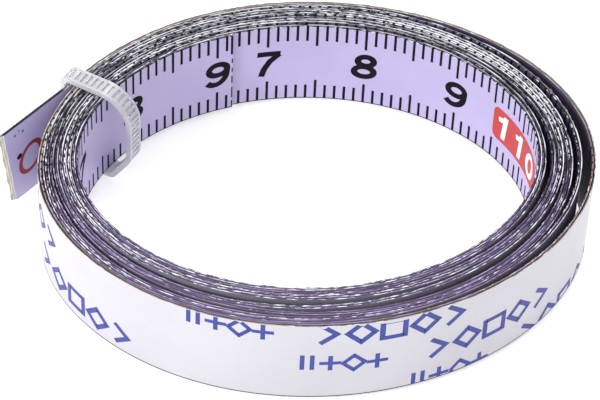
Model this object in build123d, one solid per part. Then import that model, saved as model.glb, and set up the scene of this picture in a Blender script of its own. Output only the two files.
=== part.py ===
from build123d import *
import os
from math import cos, radians, sin

# A self-adhesive ruler tape, coiled with its scale inward and held by one cable tie.
# Lengths are millimetres and angles are degrees. Z is up and the coil lies on its edge.
# The tape is a spiral: "turned" counts the degrees it has turned from its inner end,
# and "normal" is the direction its outward face looks in, seen from above.

# ---- the tape itself ----
tape_width = 10.0
scale_thickness = 0.15
adhesive_thickness = 0.14
liner_thickness = 0.10
tape_thickness = scale_thickness + adhesive_thickness + liner_thickness

# ---- how the tape is wound ----
wrap_pitch = 0.407
ring_radius = 19.76
oval_along_x = 2.34
oval_along_diagonal = 0.60
inner_end_normal = 109.9
free_end_normal = 142.0
whole_turns = 9
turned_total = 360 * whole_turns + free_end_normal - inner_end_normal
arc_count = 273
turned_per_arc = turned_total / arc_count
small_turn = 0.01

# Where the wraps stand off each other: the normal at the middle of the gap, half its spread,
# its width in mm, and how many wraps lie inside it.
loose_places = [
    (-5, 85, 0.50, 2),
    (12, 85, 0.50, 7),
    (2, 100, 0.95, 8),
    (305, 65, 0.60, 5),
    (262, 70, 0.60, 4),
    (240, 75, 0.45, 6),
    (197, 37, 0.12, 7),
    (198, 38, 0.16, 8),
]

# ---- the free end, which leaves the coil in a straight line ----
free_length = 13.2
free_end_slant = 1.3
free_root = 6.2
joint_gap = 0.16
torn_lip = 0.45
peel_gap = 0.05

# ---- the cable tie ----
tie_normal = 148.1
tie_plane_turn = 4.5
strap_width = 1.9
strap_thickness = 0.55
loop_inner_bow = -2.45
loop_outer = 4.63
loop_top = tape_width + 0.25
loop_bottom = -0.06
loop_foot = -0.5
loop_bow_foot = 3.0
shoulder_radius = 3.0
knee_radius = 2.2
corner_radius = 0.4
rib_pitch = 0.62
pocket_length = 0.3
pocket_width = 1.3
pocket_depth = 0.18
head_depth = 2.6
head_width = 3.7
head_height = 3.4
head_bottom = loop_bottom - strap_thickness
head_edge_radius = 0.4
slot_width = 2.3
slot_height = 2.0
slot_bottom = head_bottom + 0.85
strap_end_gap = 0.1
pawl_width = 1.7
pawl_length = 1.8
pawl_thickness = 0.6
pawl_gap = 0.15
pawl_tooth_height = 0.3
pawl_tooth_count = 3


def outward(normal):
    return Vector(cos(radians(normal)), sin(radians(normal)), 0)


def forward(normal):
    return Vector(-sin(radians(normal)), cos(radians(normal)), 0)


def stand_off(turned):
    """How far the loose places inside this point push the tape outward."""
    total = 0.0
    for middle, spread, gap_width, wraps_inside in loose_places:
        from_middle = (inner_end_normal + turned - middle + 180) % 360 - 180
        first_middle = (middle - inner_end_normal) % 360 + 360 * wraps_inside
        if abs(from_middle) < spread and turned - from_middle > first_middle - 1:
            total += gap_width * cos(radians(90 * from_middle / spread)) ** 2
    return total


def wall_distance(turned):
    """Distance from the ring's middle to the tangent line of the printed face."""
    twice = radians(2 * (inner_end_normal + turned))
    oval = oval_along_x * cos(twice) + oval_along_diagonal * sin(twice)
    return ring_radius + wrap_pitch * turned / 360 + oval + stand_off(turned)


def wall_slope(turned):
    rise = wall_distance(turned + small_turn) - wall_distance(turned - small_turn)
    return rise / radians(2 * small_turn)


def wall_point(turned):
    normal = inner_end_normal + turned
    return outward(normal) * wall_distance(turned) + forward(normal) * wall_slope(turned)


def spiral_arcs():
    """The printed face as arcs that meet smoothly: middle, radius, first normal."""
    arcs = []
    point = wall_point(0)
    for number in range(arc_count):
        start = number * turned_per_arc
        end = start + turned_per_arc
        ends_and_middle = [wall_distance(start), wall_distance((start + end) / 2), wall_distance(end)]
        mean_distance = (ends_and_middle[0] + 4 * ends_and_middle[1] + ends_and_middle[2]) / 6
        bend = (wall_slope(end) - wall_slope(start)) / radians(turned_per_arc)
        radius = mean_distance + bend
        first_normal = inner_end_normal + start
        middle = point - outward(first_normal) * radius
        arcs.append((middle, radius, first_normal))
        point = middle + outward(first_normal + turned_per_arc) * radius
    return arcs, point


arcs, free_start = spiral_arcs()
free_normal = inner_end_normal + turned_total


def strip_face_edges(depth):
    """One face of the wound strip, from the inner end to the joint with the free end."""
    edges = []
    for middle, radius, first_normal in arcs:
        edges.append(CenterArc(middle, radius + depth, first_normal, turned_per_arc))
    straight = free_root - joint_gap / 2
    start = free_start + outward(free_normal) * depth
    edges.append(Line(start, start + forward(free_normal) * straight))
    return edges


def wound_strip(inner_depth, outer_depth):
    inner_edges = strip_face_edges(inner_depth)
    outer_edges = strip_face_edges(outer_depth)
    inner_start = inner_edges[0] @ 0
    outer_start = outer_edges[0] @ 0
    end_cap = Line(inner_edges[-1] @ 1, outer_edges[-1] @ 1)
    outline = inner_edges + [end_cap] + outer_edges[::-1] + [Line(outer_start, inner_start)]
    return extrude(make_face(outline), amount=tape_width, dir=(0, 0, 1))


def free_strip(inner_depth, outer_depth, extra_length):
    """A flat strip past the joint, cut on a slant across its end."""
    root = free_root + joint_gap / 2
    top_end = free_length + extra_length
    bottom_end = top_end - free_end_slant
    corners = [(root, 0), (bottom_end, 0), (top_end, tape_width), (root, tape_width)]
    side = Plane(origin=free_start + outward(free_normal) * inner_depth,
                 x_dir=forward(free_normal), z_dir=outward(free_normal))
    flat = side * make_face(Polyline(*corners, close=True))
    return extrude(flat, amount=outer_depth - inner_depth, dir=outward(free_normal))


def tie_location():
    """The tie's own frame: X outward through the bundle, Y along the tape, Z up."""
    inner_wall = wall_point(tie_normal - inner_end_normal)
    return Location(inner_wall) * Rotation(0, 0, tie_normal + tie_plane_turn)


def loop_outline():
    """The hole of the tie's loop, seen along the tape."""
    corners = [
        (loop_outer, loop_top),
        (loop_inner_bow, loop_top),
        (loop_inner_bow, loop_bow_foot),
        (loop_foot, loop_bottom),
        (loop_outer, loop_bottom),
    ]
    outline = make_face(Polyline(*corners, close=True))
    radii = [corner_radius, shoulder_radius, knee_radius, corner_radius, corner_radius]
    for (across, up), radius in zip(corners, radii):
        nearest = outline.vertices().sort_by_distance((across, up, 0))[0]
        outline = fillet(nearest, radius)
    return outline


def strap_pockets(outer_outline):
    """The hollows between the ribs, on the strap's outer face."""
    path = outer_outline.faces()[0].outer_wire()
    count = int(path.length / rib_pitch)
    pocket = Box(pocket_length, 2 * pocket_depth, pocket_width)
    pockets = []
    for number in range(count):
        share = (number + 0.5) / count
        point = path @ share
        along = path % share
        beside_head = point.X > loop_outer and head_bottom - rib_pitch < point.Y
        if beside_head and point.Y < head_bottom + head_height + rib_pitch:
            continue
        pockets.append(Plane(origin=point, x_dir=along, z_dir=(0, 0, 1)) * pocket)
    return pockets


def make_cable_tie():
    hole = loop_outline()
    outer_outline = offset(hole, strap_thickness, kind=Kind.ARC)
    band = extrude(outer_outline - hole, amount=strap_width / 2, both=True)
    band = band - strap_pockets(outer_outline)
    band = Rot(90, 0, 0) * band

    head_inner = loop_outer + strap_thickness - 0.2
    head_middle = head_inner + head_depth / 2
    head = Pos(head_middle, 0, head_bottom + head_height / 2) * Box(head_depth, head_width, head_height)
    upright = head.edges().filter_by(Axis.Z)
    head = fillet(upright.group_by(Axis.X)[-1], head_edge_radius)
    slot_depth = head_depth - 0.2
    slot_middle = head_inner + head_depth - slot_depth / 2
    slot = Pos(slot_middle, 0, slot_bottom + slot_height / 2) * Box(slot_depth, slot_width, slot_height)
    strap_end = Pos(head_middle, 0, slot_bottom + strap_end_gap + strap_thickness / 2) * Box(
        head_depth, strap_width, strap_thickness)
    return band + (head - slot) + strap_end


def make_tie_pawl():
    """The springy tongue in the head's slot, with teeth that bite on the strap's ribs."""
    top = slot_bottom + slot_height - pawl_gap
    outer = loop_outer + strap_thickness - 0.2 + head_depth - 0.4
    inner = outer - pawl_length
    base = top - pawl_thickness
    tooth_run = (outer - inner) / (pawl_tooth_count + 1)
    corners = [(outer, top), (inner, top), (inner, base)]
    for tooth in range(pawl_tooth_count):
        corners.append((inner + tooth * tooth_run, base - pawl_tooth_height))
        corners.append((inner + (tooth + 1) * tooth_run, base))
    corners.append((outer, base))
    side = make_face(Plane.XZ * Polyline(*corners, close=True))
    return extrude(side, amount=pawl_width / 2, both=True)


adhesive_start = scale_thickness
liner_start = scale_thickness + adhesive_thickness

parts = {
    "scale_tape": wound_strip(0, scale_thickness),
    "adhesive_layer": wound_strip(adhesive_start, liner_start),
    "release_liner": wound_strip(liner_start, tape_thickness),
    "scale_tape_end": free_strip(0, scale_thickness, 0),
    "adhesive_end": free_strip(adhesive_start, liner_start, torn_lip / 2),
    "liner_end": free_strip(liner_start + peel_gap, tape_thickness + peel_gap, torn_lip),
    "cable_tie": tie_location() * make_cable_tie(),
    "tie_pawl": tie_location() * make_tie_pawl(),
}

# The whole object is moved so that the middle of its footprint is the origin.
boxes = [shape.bounding_box() for shape in parts.values()]
middle_x = (min(box.min.X for box in boxes) + max(box.max.X for box in boxes)) / 2
middle_y = (min(box.min.Y for box in boxes) + max(box.max.Y for box in boxes)) / 2
to_origin = Pos(-middle_x, -middle_y, -min(box.min.Z for box in boxes))

os.makedirs("parts", exist_ok=True)
for name, shape in parts.items():
    export_step(to_origin * shape, f"parts/{name}.step")
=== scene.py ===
from bisect import bisect_right
from math import ceil, cos, pi, radians, sin

import bmesh
import bpy
from mathutils import Matrix, Vector

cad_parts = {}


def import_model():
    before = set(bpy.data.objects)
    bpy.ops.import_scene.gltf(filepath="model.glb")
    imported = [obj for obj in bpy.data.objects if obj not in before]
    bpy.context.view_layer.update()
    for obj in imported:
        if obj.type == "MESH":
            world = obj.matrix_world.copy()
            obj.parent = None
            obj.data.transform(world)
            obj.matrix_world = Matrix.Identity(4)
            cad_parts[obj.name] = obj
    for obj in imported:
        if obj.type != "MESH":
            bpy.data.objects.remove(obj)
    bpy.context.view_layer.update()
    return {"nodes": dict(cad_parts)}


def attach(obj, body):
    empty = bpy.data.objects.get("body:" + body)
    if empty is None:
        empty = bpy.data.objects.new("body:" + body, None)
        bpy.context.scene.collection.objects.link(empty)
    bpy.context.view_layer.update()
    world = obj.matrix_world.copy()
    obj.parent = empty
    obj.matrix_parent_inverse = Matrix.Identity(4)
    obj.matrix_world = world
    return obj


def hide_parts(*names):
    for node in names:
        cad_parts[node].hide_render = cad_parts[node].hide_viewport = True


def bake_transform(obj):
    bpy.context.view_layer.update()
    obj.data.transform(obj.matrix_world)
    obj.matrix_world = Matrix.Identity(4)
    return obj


# The looks of a coiled self-adhesive ruler tape, held by a cable tie.
# Lengths here are millimetres until to_frame() turns them into the frame's metres.
# "along" is the distance along the printed face from the tape's inner end, "depth" is how far
# a point lies behind the printed face, and "height" is measured up from the tape's lower edge.

MM = 0.001
ring_offset = (1.1006, 0.4572, 0.61)

# ---- the tape: the same spiral as the CAD part ----
tape_width = 10.0
scale_thickness = 0.15
adhesive_thickness = 0.14
liner_thickness = 0.10
tape_thickness = scale_thickness + adhesive_thickness + liner_thickness
liner_start = scale_thickness + adhesive_thickness
wrap_pitch = 0.407
ring_radius = 19.76
oval_along_x = 2.34
oval_along_diagonal = 0.60
inner_end_normal = 109.9
free_end_normal = 142.0
whole_turns = 9
turned_total = 360 * whole_turns + free_end_normal - inner_end_normal
arc_count = 273
turned_per_arc = turned_total / arc_count
small_turn = 0.01
# Where wraps stand apart: direction, spread to each side, gap there, and wraps inside the gap.
loose_places = [
    (-5, 85, 0.50, 2),
    (12, 85, 0.50, 7),
    (2, 100, 0.95, 8),
    (305, 65, 0.60, 5),
    (262, 70, 0.60, 4),
    (240, 75, 0.45, 6),
    (197, 37, 0.12, 7),
    (198, 38, 0.16, 8),
]
free_length = 13.2
free_end_slant = 1.3
free_root = 6.2
torn_lip = 0.45
adhesive_inset = 0.28

# ---- the print on the scale ----
scale_at_inner_end = 1191.65
ink_lift = 0.009
tick_thickness = 0.27
short_tick = 1.9
long_tick = 2.6
rim_height = 0.11
tick_on_edge = 0.22
numeral_height = 3.4
numeral_middle = 5.08
numeral_slant = 0.10
numeral_squeeze = 1.38
box_length = 10.0
box_height = 4.3
box_corner = 0.8
box_numeral_height = 3.2
box_numeral_shift = 0.5


# ================= the spiral =================

def stand_off(turned):
    """How far the loose places inside this point push the tape outward."""
    total = 0.0
    for middle, spread, gap_width, wraps_inside in loose_places:
        from_middle = (inner_end_normal + turned - middle + 180) % 360 - 180
        first_middle = (middle - inner_end_normal) % 360 + 360 * wraps_inside
        if abs(from_middle) < spread and turned - from_middle > first_middle - 1:
            total += gap_width * cos(radians(90 * from_middle / spread)) ** 2
    return total


def wall_distance(turned):
    """Distance from the ring's middle to the tangent line of the printed face."""
    twice = radians(2 * (inner_end_normal + turned))
    oval = oval_along_x * cos(twice) + oval_along_diagonal * sin(twice)
    return ring_radius + wrap_pitch * turned / 360 + oval + stand_off(turned)


def wall_slope(turned):
    rise = wall_distance(turned + small_turn) - wall_distance(turned - small_turn)
    return rise / radians(2 * small_turn)


def outward(normal):
    return Vector((cos(radians(normal)), sin(radians(normal)), 0))


def forward(normal):
    return Vector((-sin(radians(normal)), cos(radians(normal)), 0))


def spiral_arcs():
    """The printed face as arcs: middle, radius, first normal, distance along at its start."""
    arcs = []
    point = outward(inner_end_normal) * wall_distance(0) + forward(inner_end_normal) * wall_slope(0)
    along = 0.0
    for number in range(arc_count):
        start = number * turned_per_arc
        end = start + turned_per_arc
        halfway = (start + end) / 2
        mean_distance = (wall_distance(start) + 4 * wall_distance(halfway) + wall_distance(end)) / 6
        bend = (wall_slope(end) - wall_slope(start)) / radians(turned_per_arc)
        radius = mean_distance + bend
        first_normal = inner_end_normal + start
        middle = point - outward(first_normal) * radius
        arcs.append((middle, radius, first_normal, along))
        point = middle + outward(first_normal + turned_per_arc) * radius
        along += radius * radians(turned_per_arc)
    return arcs, point, along


arcs, free_start, coil_length = spiral_arcs()
arc_starts = [arc[3] for arc in arcs]
free_normal = inner_end_normal + turned_total


def normal_at(along):
    """The direction that the tape's outward face looks in there, in degrees."""
    _, radius, first_normal, start = arcs[max(bisect_right(arc_starts, along) - 1, 0)]
    return first_normal + (along - start) / radius * 180 / pi


def edge_wander(along):
    """The wraps don't lie quite level with each other."""
    return 0.075 * sin(along / 31.0) + 0.035 * sin(along / 11.3 + 1.0)


def to_frame(point):
    return Vector([(value + offset) * MM for value, offset in zip(point, ring_offset)])


def tape_point(along, depth, height):
    if along >= coil_length:
        flat = free_start + forward(free_normal) * (along - coil_length) + outward(free_normal) * depth
    else:
        middle, radius, _, _ = arcs[max(bisect_right(arc_starts, along) - 1, 0)]
        flat = middle + outward(normal_at(along)) * (radius + depth)
    settle = edge_wander(along) * min(max((coil_length - along) / 20, 0), 1)
    return to_frame((flat.x, flat.y, height + settle))


# ================= materials =================

class Recipe:
    """A Principled material whose nodes are added one by one."""

    def __init__(self, name, roughness, **sockets):
        self.made = bpy.data.materials.new(name)
        self.made.use_nodes = True
        self.nodes = self.made.node_tree.nodes
        self.links = self.made.node_tree.links
        self.shader = self.nodes["Principled BSDF"]
        self.shader.inputs["Roughness"].default_value = roughness
        for socket, value in sockets.items():
            self.shader.inputs[socket.replace("_", " ")].default_value = value

    def object_place(self):
        return self.nodes.new("ShaderNodeTexCoord").outputs["Object"]

    def tape_place(self):
        """Distance along the tape, depth in it and height on it, in millimetres."""
        place = self.nodes.new("ShaderNodeAttribute")
        place.attribute_name = "tape_place"
        return place.outputs["Vector"]

    def noise(self, place, sizes, detail=2.0):
        """Noise from 0 to 1 whose grain has these sizes along the place's three axes."""
        stretch = self.nodes.new("ShaderNodeVectorMath")
        stretch.operation = "MULTIPLY"
        stretch.inputs[1].default_value = [1 / size for size in sizes]
        self.links.new(place, stretch.inputs[0])
        texture = self.nodes.new("ShaderNodeTexNoise")
        texture.inputs["Scale"].default_value = 1.0
        texture.inputs["Detail"].default_value = detail
        self.links.new(stretch.outputs["Vector"], texture.inputs["Vector"])
        return texture.outputs["Fac"]

    def between(self, value, low, high):
        """0 where the value is under low, 1 where it is over high."""
        spread = self.nodes.new("ShaderNodeMapRange")
        spread.inputs["From Min"].default_value = low
        spread.inputs["From Max"].default_value = high
        self.links.new(value, spread.inputs["Value"])
        return spread.outputs["Result"]

    def times_plus(self, value, factor, other):
        """value x factor + other."""
        node = self.nodes.new("ShaderNodeMath")
        node.operation = "MULTIPLY_ADD"
        node.inputs[1].default_value = factor
        self.links.new(value, node.inputs[0])
        self.links.new(other, node.inputs[2])
        return node.outputs["Value"]

    def mix(self, factor, one, other):
        """Each of one and other is a colour or the output of another mix."""
        node = self.nodes.new("ShaderNodeMix")
        node.data_type = "RGBA"
        self.links.new(factor, node.inputs["Factor"])
        for socket, colour in (("A", one), ("B", other)):
            if isinstance(colour, tuple):
                node.inputs[socket].default_value = (*colour, 1)
            else:
                self.links.new(colour, node.inputs[socket])
        return node.outputs["Result"]

    def height(self, value, strength, distance):
        relief = self.nodes.new("ShaderNodeBump")
        relief.inputs["Strength"].default_value = strength
        relief.inputs["Distance"].default_value = distance * MM
        self.links.new(value, relief.inputs["Height"])
        self.links.new(relief.outputs["Normal"], self.shader.inputs["Normal"])

    def colour(self, result):
        self.links.new(result, self.shader.inputs["Base Color"])
        return self.made


def painted(name, light, dark, roughness, grain, bump, **sockets):
    """A coat with faint clouds, a fine grain and a slight relief."""
    recipe = Recipe(name, roughness, **sockets)
    place = recipe.object_place()
    clouds = recipe.noise(place, [6 * MM] * 3)
    fine = recipe.noise(place, [grain * MM] * 3, 3.0)
    recipe.height(fine, bump, 0.02)
    middle = tuple((one + other) / 2 for one, other in zip(light, dark))
    cloudy = recipe.mix(recipe.between(clouds, 0.35, 0.65), light, middle)
    return recipe.colour(recipe.mix(recipe.between(fine, 0.50, 0.85), cloudy, dark))


def cut_edge(name, back, front, pale, pale_from):
    """A slit edge: streaks along the tape, with pale scuffs that come and go from wrap to wrap.

    back and front are pairs of a light and a dark colour, for the far and the near side of the ring."""
    recipe = Recipe(name, 0.65, Specular_IOR_Level=0.12)
    place = recipe.tape_place()
    slow = recipe.noise(place, (34, 1, 40), 1.0)
    streaks = recipe.noise(place, (2.6, 0.14, 8), 2.0)
    dashes = recipe.noise(place, (0.75, 0.10, 8), 2.0)
    split = recipe.nodes.new("ShaderNodeSeparateXYZ")
    recipe.links.new(recipe.object_place(), split.inputs["Vector"])
    to_back = recipe.between(split.outputs["Y"], -0.012, 0.004)
    # The far side of the ring gets the back pairs, whose near-black is painted shade of the gaps between
    # the wraps.
    light, dark = (recipe.mix(to_back, front[shade], back[shade]) for shade in (0, 1))
    base = recipe.mix(recipe.between(streaks, 0.42, 0.52), light, dark)
    recipe.height(dashes, 0.5, 0.05)
    together = recipe.times_plus(slow, 0.55, dashes)
    more_at_back = recipe.times_plus(to_back, 0.03, together)
    scuffs = recipe.between(more_at_back, pale_from, pale_from + 0.04)
    return recipe.colour(recipe.mix(scuffs, base, pale))


def make_materials():
    white = (0.86, 0.86, 0.90)
    # The near-black here is painted shade of the gaps between the wraps.
    gap_shade_black, grey_edge = (0.004, 0.003, 0.008), (0.085, 0.066, 0.135)
    mauve, plum = (0.32, 0.24, 0.45), (0.12, 0.08, 0.18)
    tan, brown, sand = (0.50, 0.41, 0.34), (0.20, 0.15, 0.13), (0.80, 0.74, 0.68)
    return {
        "lilac": painted("lilac_paint", (0.475, 0.42, 0.655), (0.43, 0.375, 0.61), 0.36, 0.10, 0.10),
        "steel": painted("tape_steel", (0.34, 0.31, 0.42), (0.26, 0.24, 0.33), 0.4, 0.12, 0.1,
                         Metallic=0.5),
        "scale_edge": cut_edge("scale_edge", (grey_edge, gap_shade_black), (mauve, plum), white, 0.87),
        # The glue's cut edge is near-black as painted shade of the groove between scale and liner; the
        # glue itself is pale (glue_face).
        "adhesive": cut_edge("adhesive", (gap_shade_black, gap_shade_black), (plum, gap_shade_black), grey_edge, 0.95),
        "liner": painted("liner_paper", (0.545, 0.535, 0.585), (0.49, 0.48, 0.53), 0.42, 0.16, 0.18),
        "liner_edge": cut_edge("liner_edge", (white, gap_shade_black), (mauve, plum), white, 0.83),
        "outer_edge": cut_edge("outer_edge", (tan, brown), (tan, brown), sand, 0.88),
        "last_edge": cut_edge("last_edge", (tan, brown), (mauve, brown), sand, 0.92),
        # Black ink for the print, also used for the painted shadow at the tape's inner end.
        "ink": painted("black_ink_and_step_shadow", (0.004, 0.003, 0.006), (0.012, 0.009, 0.016), 0.65, 0.10, 0.1,
                       Specular_IOR_Level=0.08),
        "red": painted("red_ink", (0.54, 0.032, 0.025), (0.45, 0.025, 0.020), 0.55, 0.12, 0.1),
        "dark_red": painted("dark_red_ink", (0.27, 0.008, 0.013), (0.20, 0.006, 0.010), 0.5, 0.12, 0.1),
        "white": painted("white_ink", (0.86, 0.84, 0.88), (0.78, 0.76, 0.80), 0.45, 0.12, 0.1),
        "blue": painted("blue_ink", (0.014, 0.028, 0.24), (0.03, 0.05, 0.31), 0.5, 0.14, 0.1),
        # Dark cut edges of the free end, and also the painted contact shadow along the ring's lower edges.
        "burr_and_contact_shadow": painted("cut_burr_and_contact_shadow", (0.010, 0.008, 0.014), (0.06, 0.05, 0.08), 0.6, 0.30, 0.2,
                        Specular_IOR_Level=0.1),
        "glue_face": painted("glue_film", (0.62, 0.60, 0.56), (0.50, 0.48, 0.45), 0.28, 0.40, 0.3),
        # Painted shade: a darker grey on the liner's outer faces that lie between the wraps.
        "liner_gap_shade": painted("paper_gap_shade", (0.27, 0.26, 0.31), (0.20, 0.19, 0.23), 0.6, 0.16, 0.2),
        # Painted shade: a darker lilac on the printed faces that lie between the wraps.
        "lilac_gap_shade": painted("lilac_paint_gap_shade", (0.085, 0.065, 0.145), (0.045, 0.035, 0.075), 0.55, 0.20, 0.2),
        "torn": painted("torn_fibre", (0.66, 0.62, 0.54), (0.40, 0.36, 0.31), 0.85, 0.22, 0.9),
        "nylon": painted(
            "clear_nylon", (0.84, 0.84, 0.87), (0.74, 0.74, 0.79), 0.30, 0.5, 0.12,
            Transmission_Weight=0.45, IOR=1.45, Subsurface_Weight=0.3, Subsurface_Scale=0.0015,
            Subsurface_Radius=(1, 1, 1)),
    }


# ================= meshes =================

class Mesher:
    """Collects points and faces, each face with a material slot."""

    def __init__(self):
        self.points = []
        self.places = []
        self.faces = []
        self.slots = []

    def add_points(self, points):
        first = len(self.points)
        self.points.extend(points)
        return list(range(first, len(self.points)))

    def add_tape_points(self, places):
        """Points given as (along, depth, height), which the edge materials read again."""
        self.places.extend(places)
        return self.add_points([tape_point(*place) for place in places])

    def face(self, corners, slot=0):
        self.faces.append(corners)
        self.slots.append(slot)

    def band(self, one_side, other_side, slot=0):
        """Faces between two rows of points that run side by side."""
        one = self.add_points(one_side)
        other = self.add_points(other_side)
        self.join_rows(one, other, slot)

    def join_rows(self, one, other, slot=0):
        for index in range(len(one) - 1):
            self.face((one[index], one[index + 1], other[index + 1], other[index]), slot)

    def build(self, name, materials, closed=False):
        mesh = bpy.data.meshes.new(name)
        mesh.from_pydata(self.points, [], self.faces)
        for made in materials:
            mesh.materials.append(made)
        mesh.polygons.foreach_set("material_index", self.slots)
        if self.places:
            place = mesh.attributes.new("tape_place", "FLOAT_VECTOR", "POINT")
            place.data.foreach_set("vector", [value for entry in self.places for value in entry])
        if closed:
            solid = bmesh.new()
            solid.from_mesh(mesh)
            bmesh.ops.recalc_face_normals(solid, faces=solid.faces)
            solid.to_mesh(mesh)
            solid.free()
        mesh.shade_smooth()
        mesh.set_sharp_from_angle(angle=radians(40))
        thing = bpy.data.objects.new(name, mesh)
        bpy.context.scene.collection.objects.link(thing)
        return thing


def steps_between(start, end, longest):
    count = max(ceil((end - start) / longest), 1)
    return [start + (end - start) * index / count for index in range(count + 1)]


station_step = 0.5
uncovered_end = 8


def wound_strip(name, inner_depth, outer_depth, inset, materials):
    """One layer of the wound tape.

    Slots: front face, back face, edges, outermost wrap's edges, covered front face, covered back
    face. The inset is how far the layer's edges lie inside the tape's width."""
    mesher = Mesher()
    stations = steps_between(0, coil_length + tail_start, station_step)
    first_wrap = 2 * pi * (ring_radius + wrap_pitch)
    last_wrap = coil_length - 2 * pi * (ring_radius + (whole_turns + 1) * wrap_pitch)
    bottom, top = inset, tape_width - inset
    corners = ((inner_depth, bottom), (inner_depth, top), (outer_depth, top), (outer_depth, bottom))
    rows = []
    for depth, height in corners:
        rows.append(mesher.add_tape_points([(along, depth, height) for along in stations]))
    for index in range(len(stations) - 1):
        edge_slot = 3 if stations[index] > last_wrap else 2
        # Slots 4 and 5 hold the faces that lie between the wraps; where a caller gives them a darker
        # material, it is painted shade.
        front_slot = 4 if first_wrap < stations[index] < coil_length - uncovered_end else 0
        back_slot = 5 if stations[index] < last_wrap else 1
        for side, slot in enumerate((front_slot, edge_slot, back_slot, edge_slot)):
            one, other = rows[side], rows[(side + 1) % 4]
            mesher.face((one[index], one[index + 1], other[index + 1], other[index]), slot)
    mesher.face([row[0] for row in rows], 2)
    mesher.face([row[-1] for row in rows][::-1], 2)
    return mesher.build(name, materials, closed=True)


# ================= the free end =================

tail_start = free_root - 1.6
bend_end = free_root + 0.9
peel_end = free_root + 3.4
zero_slant = 0.18
zero_from_tip = 3.6
zero_middle = 4.6
zero_half_width = 1.4
zero_half_height = 1.75
zero_line = 0.50
tail_rows = 28
tail_columns = 20


def torn_line(extra, roughness, phase):
    """A function of height: how far past the coil the torn end of a layer reaches."""

    def reach(height):
        slant = free_end_slant * (1 - height / tape_width)
        ripple = sin(height * 2.1 + phase) + 0.6 * sin(height * 5.3 + 2 * phase)
        return free_length + extra - slant - roughness * (1 + ripple / 1.6)

    return reach


def free_strip(name, depths, materials, start, end_line):
    """One layer of the free end. Slots: front face, back face, edges, torn end."""
    mesher = Mesher()
    heights = steps_between(0, tape_width, tape_width / tail_rows)
    grids = []
    for depth in depths:
        grid = []
        for height in heights:
            reach = coil_length + end_line(height) - start
            columns = [start + reach * column / tail_columns for column in range(tail_columns + 1)]
            grid.append(mesher.add_tape_points([(along, depth, height) for along in columns]))
        grids.append(grid)
    for face_slot, grid in enumerate(grids):
        for lower, upper in zip(grid, grid[1:]):
            mesher.join_rows(lower, upper, face_slot)
    for edge in (0, -1):
        mesher.join_rows(grids[0][edge], grids[1][edge], 2)
    for column, slot in ((0, 2), (-1, 3)):
        mesher.join_rows([row[column] for row in grids[0]], [row[column] for row in grids[1]], slot)
    return mesher.build(name, materials, closed=True)


# ================= print =================

def ellipse(middle_x, middle_y, radius_x, radius_y, start=0, end=360):
    count = max(int(abs(end - start) / 15), 3)
    angles = [radians(start + (end - start) * index / count) for index in range(count + 1)]
    return [(middle_x + radius_x * cos(angle), middle_y + radius_y * sin(angle)) for angle in angles]


stroke_width = 0.20
digit_advance = 0.70
digit_strokes = {
    "0": [ellipse(0.31, 0.5, 0.215, 0.407)],
    "1": [[(0.36, 0.0), (0.36, 1.0)], [(0.36, 0.86), (0.25, 0.77), (0.12, 0.72)]],
    "2": [ellipse(0.31, 0.70, 0.21, 0.207, 170, -35) + [(0.12, 0.12)], [(0.06, 0.093), (0.55, 0.093)]],
    "3": [ellipse(0.29, 0.715, 0.195, 0.192, 160, -90), ellipse(0.29, 0.30, 0.22, 0.207, 90, -160)],
    "4": [[(0.41, 0.0), (0.41, 1.0)], [(0.40, 0.93), (0.08, 0.33)], [(0.03, 0.29), (0.58, 0.29)]],
    "5": [[(0.17, 0.907), (0.53, 0.907)], [(0.19, 0.93), (0.13, 0.50)],
          ellipse(0.29, 0.32, 0.22, 0.227, 138, -158)],
    "6": [ellipse(0.31, 0.31, 0.21, 0.217), ellipse(0.34, 0.52, 0.24, 0.387, 42, 180) + [(0.10, 0.35)]],
    "7": [[(0.05, 0.907), (0.56, 0.907)], [(0.54, 0.89), (0.35, 0.60), (0.25, 0.30), (0.21, 0.0)]],
    "8": [ellipse(0.31, 0.725, 0.175, 0.182), ellipse(0.31, 0.295, 0.215, 0.202)],
    "9": [ellipse(0.31, 0.69, 0.21, 0.217), ellipse(0.28, 0.48, 0.24, 0.387, -138, 0) + [(0.52, 0.65)]],
}


def finer(points, longest):
    """The same line with points no further apart than longest."""
    line = [points[0]]
    for (x0, y0), (x1, y1) in zip(points, points[1:]):
        length = ((x1 - x0) ** 2 + (y1 - y0) ** 2) ** 0.5
        count = max(ceil(length / longest), 1)
        for step in range(1, count + 1):
            line.append((x0 + (x1 - x0) * step / count, y0 + (y1 - y0) * step / count))
    return line


def stroke_sides(points, width):
    """The two sides of a stroke of that width along a line, mitred at its corners."""
    runs = [(Vector(after) - Vector(before)).normalized() for before, after in zip(points, points[1:])]
    closed = (Vector(points[0]) - Vector(points[-1])).length < 1e-6
    left, right = [], []
    for index, point in enumerate(points):
        before = runs[index - 1] if index or closed else runs[0]
        after = runs[index] if index < len(runs) else (runs[0] if closed else runs[-1])
        along = (before + after).normalized()
        reach = width / 2 / max(along.dot(after), 0.5)
        side = Vector((-along.y, along.x)) * reach
        left.append(tuple(Vector(point) + side))
        right.append(tuple(Vector(point) - side))
    return left, right


def draw_stroke(mesher, points, width, place):
    """place turns a flat (x, y) into a point on the tape."""
    left, right = stroke_sides(finer(points, 0.35), width)
    mesher.band([place(x, y) for x, y in left], [place(x, y) for x, y in right])


def draw_number(mesher, text, value, size, squeeze, lift):
    """Digits on the printed face, centred on a scale value in millimetres."""
    advance = digit_advance * size * squeeze
    first = -advance * (len(text) - 1) / 2
    for position, digit in enumerate(text):
        middle = first + advance * position

        def place(x, y):
            slanted = middle + x + numeral_slant * y
            return tape_point(scale_at_inner_end - value - slanted, -lift, numeral_middle + y)

        for line in digit_strokes[digit]:
            points = [((x - 0.31) * size * squeeze, (y - 0.5) * size) for x, y in line]
            draw_stroke(mesher, points, stroke_width * size, place)


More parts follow.
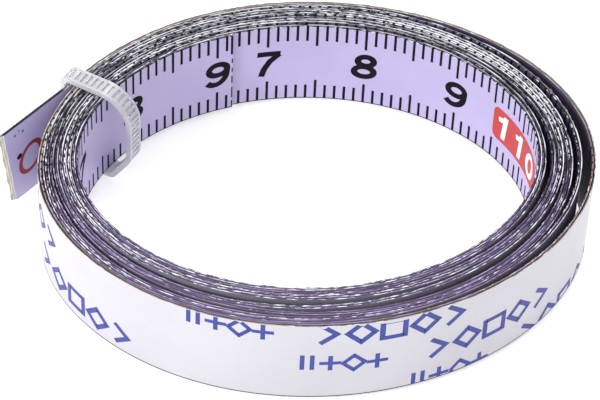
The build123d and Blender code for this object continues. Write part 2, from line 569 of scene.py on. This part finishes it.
def draw_ticks(mesher):
    """A tick every millimetre from both edges; its ink also shows on the edge itself."""
    for value in range(int(scale_at_inner_end) + 1):
        along = scale_at_inner_end - value
        length = long_tick if value % 5 == 0 else short_tick
        sides = (along - tick_thickness / 2, along + tick_thickness / 2)
        if sides[0] < 0:
            continue
        seen_from_inside = 0.5 + 0.5 * sin(radians(normal_at(along)))
        on_edge = tick_on_edge * seen_from_inside
        for edge, inside in ((0, length), (tape_width, tape_width - length)):
            beyond = edge + (ink_lift if edge else -ink_lift)
            rows = []
            for side in sides:
                rows.append([tape_point(side, -ink_lift, inside), tape_point(side, -ink_lift, beyond),
                             tape_point(side, on_edge, beyond)])
            mesher.band(*rows)


def draw_box(mesher, value, lift):
    """A rounded box on the printed face, centred on a scale value."""
    half = box_length / 2
    top, bottom = [], []
    for x in steps_between(-half, half, 0.12):
        from_end = half - abs(x)
        inset = 0.0
        if from_end < box_corner:
            inset = box_corner - (box_corner ** 2 - (box_corner - from_end) ** 2) ** 0.5
        along = scale_at_inner_end - value - x
        top.append(tape_point(along, -lift, numeral_middle + box_height / 2 - inset))
        bottom.append(tape_point(along, -lift, numeral_middle - box_height / 2 + inset))
    mesher.band(top, bottom)


def print_scale(materials):
    ticks, numerals, boxes, box_numerals = Mesher(), Mesher(), Mesher(), Mesher()
    draw_ticks(ticks)
    for centimetre in range(1, 120):
        value = 10 * centimetre
        if centimetre % 10:
            draw_number(numerals, str(centimetre % 10), value, numeral_height, numeral_squeeze, ink_lift)
        else:
            draw_box(boxes, value, ink_lift)
            draw_number(box_numerals, str(centimetre), value - box_numeral_shift, box_numeral_height, 1.32,
                        2 * ink_lift)
    return [
        ticks.build("tick_marks", [materials["ink"]]),
        numerals.build("numerals", [materials["ink"]]),
        boxes.build("decade_boxes", [materials["red"]]),
        box_numerals.build("decade_numerals", [materials["white"]]),
    ]


# ---- the liner's blue print: plain shapes in a slanted lattice of rows and columns ----
# Places along the tape are measured from the coil's outer end, so they are negative.
first_mark = -99.4
first_mark_height = 8.9
mark_row_shift = 10.7
mark_row_drop = 4.35
mark_column_shift = 43.1
mark_column_rise = 2.0
small_mark_behind = 12.6
small_mark_higher = 0.4
large_mark = 2.55
small_mark = 2.05
large_spacing = 3.05
small_spacing = 2.2
large_slant = -1.8
small_slant = -3.5
marks_from = -145
marks_to = -14
mark_line = 0.21
edge_spill = 0.30
highest_mark = tape_width + 0.6


def diamond(size):
    half = size / 2
    return [[(-half, 0), (0, half), (half, 0), (0, -half), (-half, 0)]]


def plus_sign(size):
    half = size / 2
    return [[(-half, 0), (half, 0)], [(0, -half), (0, half)]]


def arrow_head(size):
    half = size / 2
    return [[(-half * 0.6, half), (half * 0.6, 0), (-half * 0.6, -half)]]


def bar_pair(size):
    half = size / 2
    return [[(-half * 0.4, -half), (-half * 0.4, half)], [(half * 0.5, -half), (half * 0.5, half)]]


def square_ring(size):
    half = size / 2 * 0.85
    return [[(-half, 0), (-half, -half), (half, -half), (half, half), (-half, half), (-half, 0)]]


large_group = [arrow_head, diamond, square_ring, diamond, arrow_head]
small_group = [bar_pair, plus_sign, diamond, plus_sign]


def liner_point(along, level):
    """A point on the liner's outer face; a level past the tape's top lies on its top edge."""
    over = level - tape_width
    if over > 0:
        return tape_point(along, tape_thickness - over, tape_width + ink_lift)
    return tape_point(along, tape_thickness + ink_lift, max(level, 0))


def draw_liner_group(mesher, shapes, size, spacing, along, height, slant):
    """A row of shapes on the liner's outer face, cut off at the tape's edges."""

    def place(x, y):
        return liner_point(along + x, min(height + y, tape_width + edge_spill))

    for number, shape in enumerate(shapes):
        for line in shape(size):
            run = []
            across = number * spacing
            shifted = [(across + x, across * sin(radians(slant)) + y) for x, y in line]
            for point in finer(shifted, 0.15) + [None]:
                if point and 0 < height + point[1] < tape_width + edge_spill:
                    run.append(point)
                    continue
                if len(run) > 1:
                    draw_stroke(mesher, run, mark_line * size, place)
                run = []


def print_liner(materials):
    mesher = Mesher()
    kinds = (
        (large_group, large_mark, large_spacing, large_slant, 0, 0),
        (small_group, small_mark, small_spacing, small_slant, small_mark_behind, small_mark_higher),
    )
    for column in range(-1, 4):
        for row in range(-2, 3):
            for shapes, size, spacing, slant, behind, higher in kinds:
                along = first_mark + column * mark_column_shift + row * mark_row_shift - behind
                height = first_mark_height + column * mark_column_rise - row * mark_row_drop + higher
                if marks_from < along < marks_to and height < highest_mark:
                    draw_liner_group(mesher, shapes, size, spacing, coil_length + along, height, slant)
    return mesher.build("liner_marks", [materials["blue"]])


def print_seam(materials):
    """The dark line at the tape's inner end, in broken lengths, is painted shadow of the step where the
    inner end lies on the next wrap.
    """
    mesher = Mesher()
    for top, bottom, width in ((10.02, 7.5, 0.24), (6.9, 6.3, 0.13), (5.6, 5.0, 0.11), (4.5, 3.5, 0.13),
                               (2.9, 1.4, 0.12), (1.0, 0.0, 0.13)):
        mesher.band([tape_point(0, -ink_lift, top), tape_point(0, -ink_lift, bottom)],
                    [tape_point(width, -ink_lift, top), tape_point(width, -ink_lift, bottom)])
    return mesher.build("inner_end_step_shadow", [materials["ink"]])


inner_rim_length = 130
outer_rim_length = 140


def print_rims(materials):
    """A thin dark line along the lower edges that face the ring's eye and the outside: painted contact
    shadow where the tape stands on the floor.
    """
    mesher = Mesher()
    inside = steps_between(0, inner_rim_length, station_step)
    outside = steps_between(coil_length - outer_rim_length, coil_length, station_step)
    for stations, depth in ((inside, -ink_lift), (outside, tape_thickness + ink_lift)):
        mesher.band([tape_point(along, depth, 0) for along in stations],
                    [tape_point(along, depth, rim_height) for along in stations])
    return mesher.build("contact_shadow_line", [materials["burr_and_contact_shadow"]])


# ================= assembly =================

def build_tape(materials):
    lilac, steel, edge = materials["lilac"], materials["steel"], materials["scale_edge"]
    shaded_glue, glue_face, liner = materials["adhesive"], materials["glue_face"], materials["liner"]
    burr_and_contact_shadow = materials["burr_and_contact_shadow"]
    liner_edge, outer_edge, torn = materials["liner_edge"], materials["outer_edge"], materials["torn"]

    scale = wound_strip("scale_strip", 0, scale_thickness, 0,
                        [lilac, steel, edge, materials["last_edge"], materials["lilac_gap_shade"], steel])
    glue_strip = wound_strip("adhesive_strip", scale_thickness, liner_start, adhesive_inset, [shaded_glue] * 6)
    liner_strip = wound_strip("liner_strip", liner_start, tape_thickness, 0,
                              [liner, liner, liner_edge, outer_edge, liner, materials["liner_gap_shade"]])
    for piece, slot in ((scale, "lilac_paint"), (glue_strip, "adhesive"), (liner_strip, "liner_paper")):
        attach(piece, "coil")

    root = coil_length + tail_start
    bend = coil_length + bend_end
    scale_depths = (0, scale_thickness)
    glue_depths = (scale_thickness, liner_start)
    liner_depths = (liner_start, tape_thickness)
    scale_tail = free_strip("scale_tail", scale_depths, [lilac, steel, burr_and_contact_shadow, torn], root,
                            torn_line(-0.02, 0.04, 0))
    glue_tail = free_strip("adhesive_tail", glue_depths, [glue_face, glue_face, burr_and_contact_shadow, torn], root,
                           torn_line(torn_lip / 2, 0.07, 2))
    liner_root = free_strip("liner_root", liner_depths, [liner, liner, liner, liner], root,
                            lambda height: bend_end)
    liner_tail = free_strip("liner_tail", liner_depths, [torn, liner, liner, torn], bend,
                            torn_line(torn_lip, 0.1, 4))
    root_point = tape_point(root, 0, tape_width / 2)
    bend_point = tape_point(bend, 0, tape_width / 2)
    peel_point = tape_point(coil_length + peel_end, 0, tape_width / 2)
    for piece in (scale_tail, glue_tail, liner_root):
        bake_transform(piece)
    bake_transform(liner_tail)

    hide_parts("scale_tape")
    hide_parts("scale_tape_end")
    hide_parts("adhesive_layer")
    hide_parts("adhesive_end")
    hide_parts("release_liner")
    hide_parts("liner_end")

    prints = print_scale(materials)
    prints += [print_liner(materials), print_seam(materials), print_rims(materials)]
    for piece in prints:
        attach(piece, "coil")


def draw_start_mark(materials):
    """A red zero, a register dot and a few flecks of ink on the blank lead of the free end."""
    zero, dots = Mesher(), Mesher()
    middle_along = coil_length + free_length - zero_from_tip

    def place(x, y):
        return tape_point(middle_along - x - zero_slant * y, -ink_lift, zero_middle + y)

    draw_stroke(zero, ellipse(0, 0, zero_half_width, zero_half_height), zero_line, place)
    for x, y, width in ((-1.75, 1.1, 0.34), (-2.8, 4.3, 0.13), (-2.3, 4.6, 0.10), (-1.7, 4.2, 0.14)):
        draw_stroke(dots, ellipse(x, y, width / 2, width / 2), width, place)
    for mesher, name, colour in ((zero, "start_zero", "dark_red"), (dots, "start_dots", "ink")):
        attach(mesher.build(name, [materials[colour]]), "free_end")


def dress_tie(frame, materials):
    for node in ("cable_tie", "tie_pawl"):
        piece = frame["nodes"][node]
        piece.data.materials.clear()
        piece.data.materials.append(materials["nylon"])


# ================= camera, light and floor =================

world_strength = 0.82
floor_glow = 0.5
camera_place = (-0.543, -197.51, 211.12)
camera_look_down = 46.47
camera_roll = 2.63
focal_length_in_widths = 2910 / 600


def add_area_light(name, location, size, power):
    """A round lamp that looks at the middle of the ring."""
    light = bpy.data.lights.new(name, "AREA")
    light.shape = "DISK"
    light.size = size
    light.energy = power
    lamp = bpy.data.objects.new(name, light)
    lamp.location = location
    lamp.rotation_euler = (-Vector(location)).to_track_quat("-Z", "Y").to_euler()
    bpy.context.scene.collection.objects.link(lamp)


def set_the_stage():
    world = bpy.data.worlds.new("studio")
    bpy.context.scene.world = world
    world.use_nodes = True
    world.node_tree.nodes["Background"].inputs["Color"].default_value = (1, 1, 1, 1)
    world.node_tree.nodes["Background"].inputs["Strength"].default_value = world_strength
    bpy.context.scene.view_settings.view_transform = "Standard"

    bpy.ops.mesh.primitive_plane_add(size=4, location=(0, 0, -0.00002))
    floor = bpy.context.object
    floor.name = "floor"
    floor.data.materials.append(painted("pale_floor", (0.93, 0.93, 0.93), (0.91, 0.91, 0.91), 0.9, 20, 0.0,
                                        Emission_Color=(1, 1, 1, 1), Emission_Strength=floor_glow))

    add_area_light("key", (-0.30, -0.22, 0.22), 0.12, 0.9)
    add_area_light("back", (0.05, 0.30, 0.35), 0.20, 0.8)


def add_camera():
    camera = bpy.data.cameras.new("camera")
    camera.sensor_width = 36
    camera.lens = focal_length_in_widths * camera.sensor_width
    camera.clip_start = 0.01
    holder = bpy.data.objects.new("camera", camera)
    holder.location = to_frame(camera_place)
    tilt = Matrix.Rotation(radians(90 - camera_look_down), 4, "X")
    roll = Matrix.Rotation(radians(camera_roll), 4, "Z")
    holder.rotation_euler = (tilt @ roll).to_euler()
    bpy.context.scene.collection.objects.link(holder)
    bpy.context.scene.camera = holder


def main():
    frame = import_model()
    materials = make_materials()
    build_tape(materials)
    draw_start_mark(materials)
    dress_tie(frame, materials)
    set_the_stage()
    add_camera()


main()
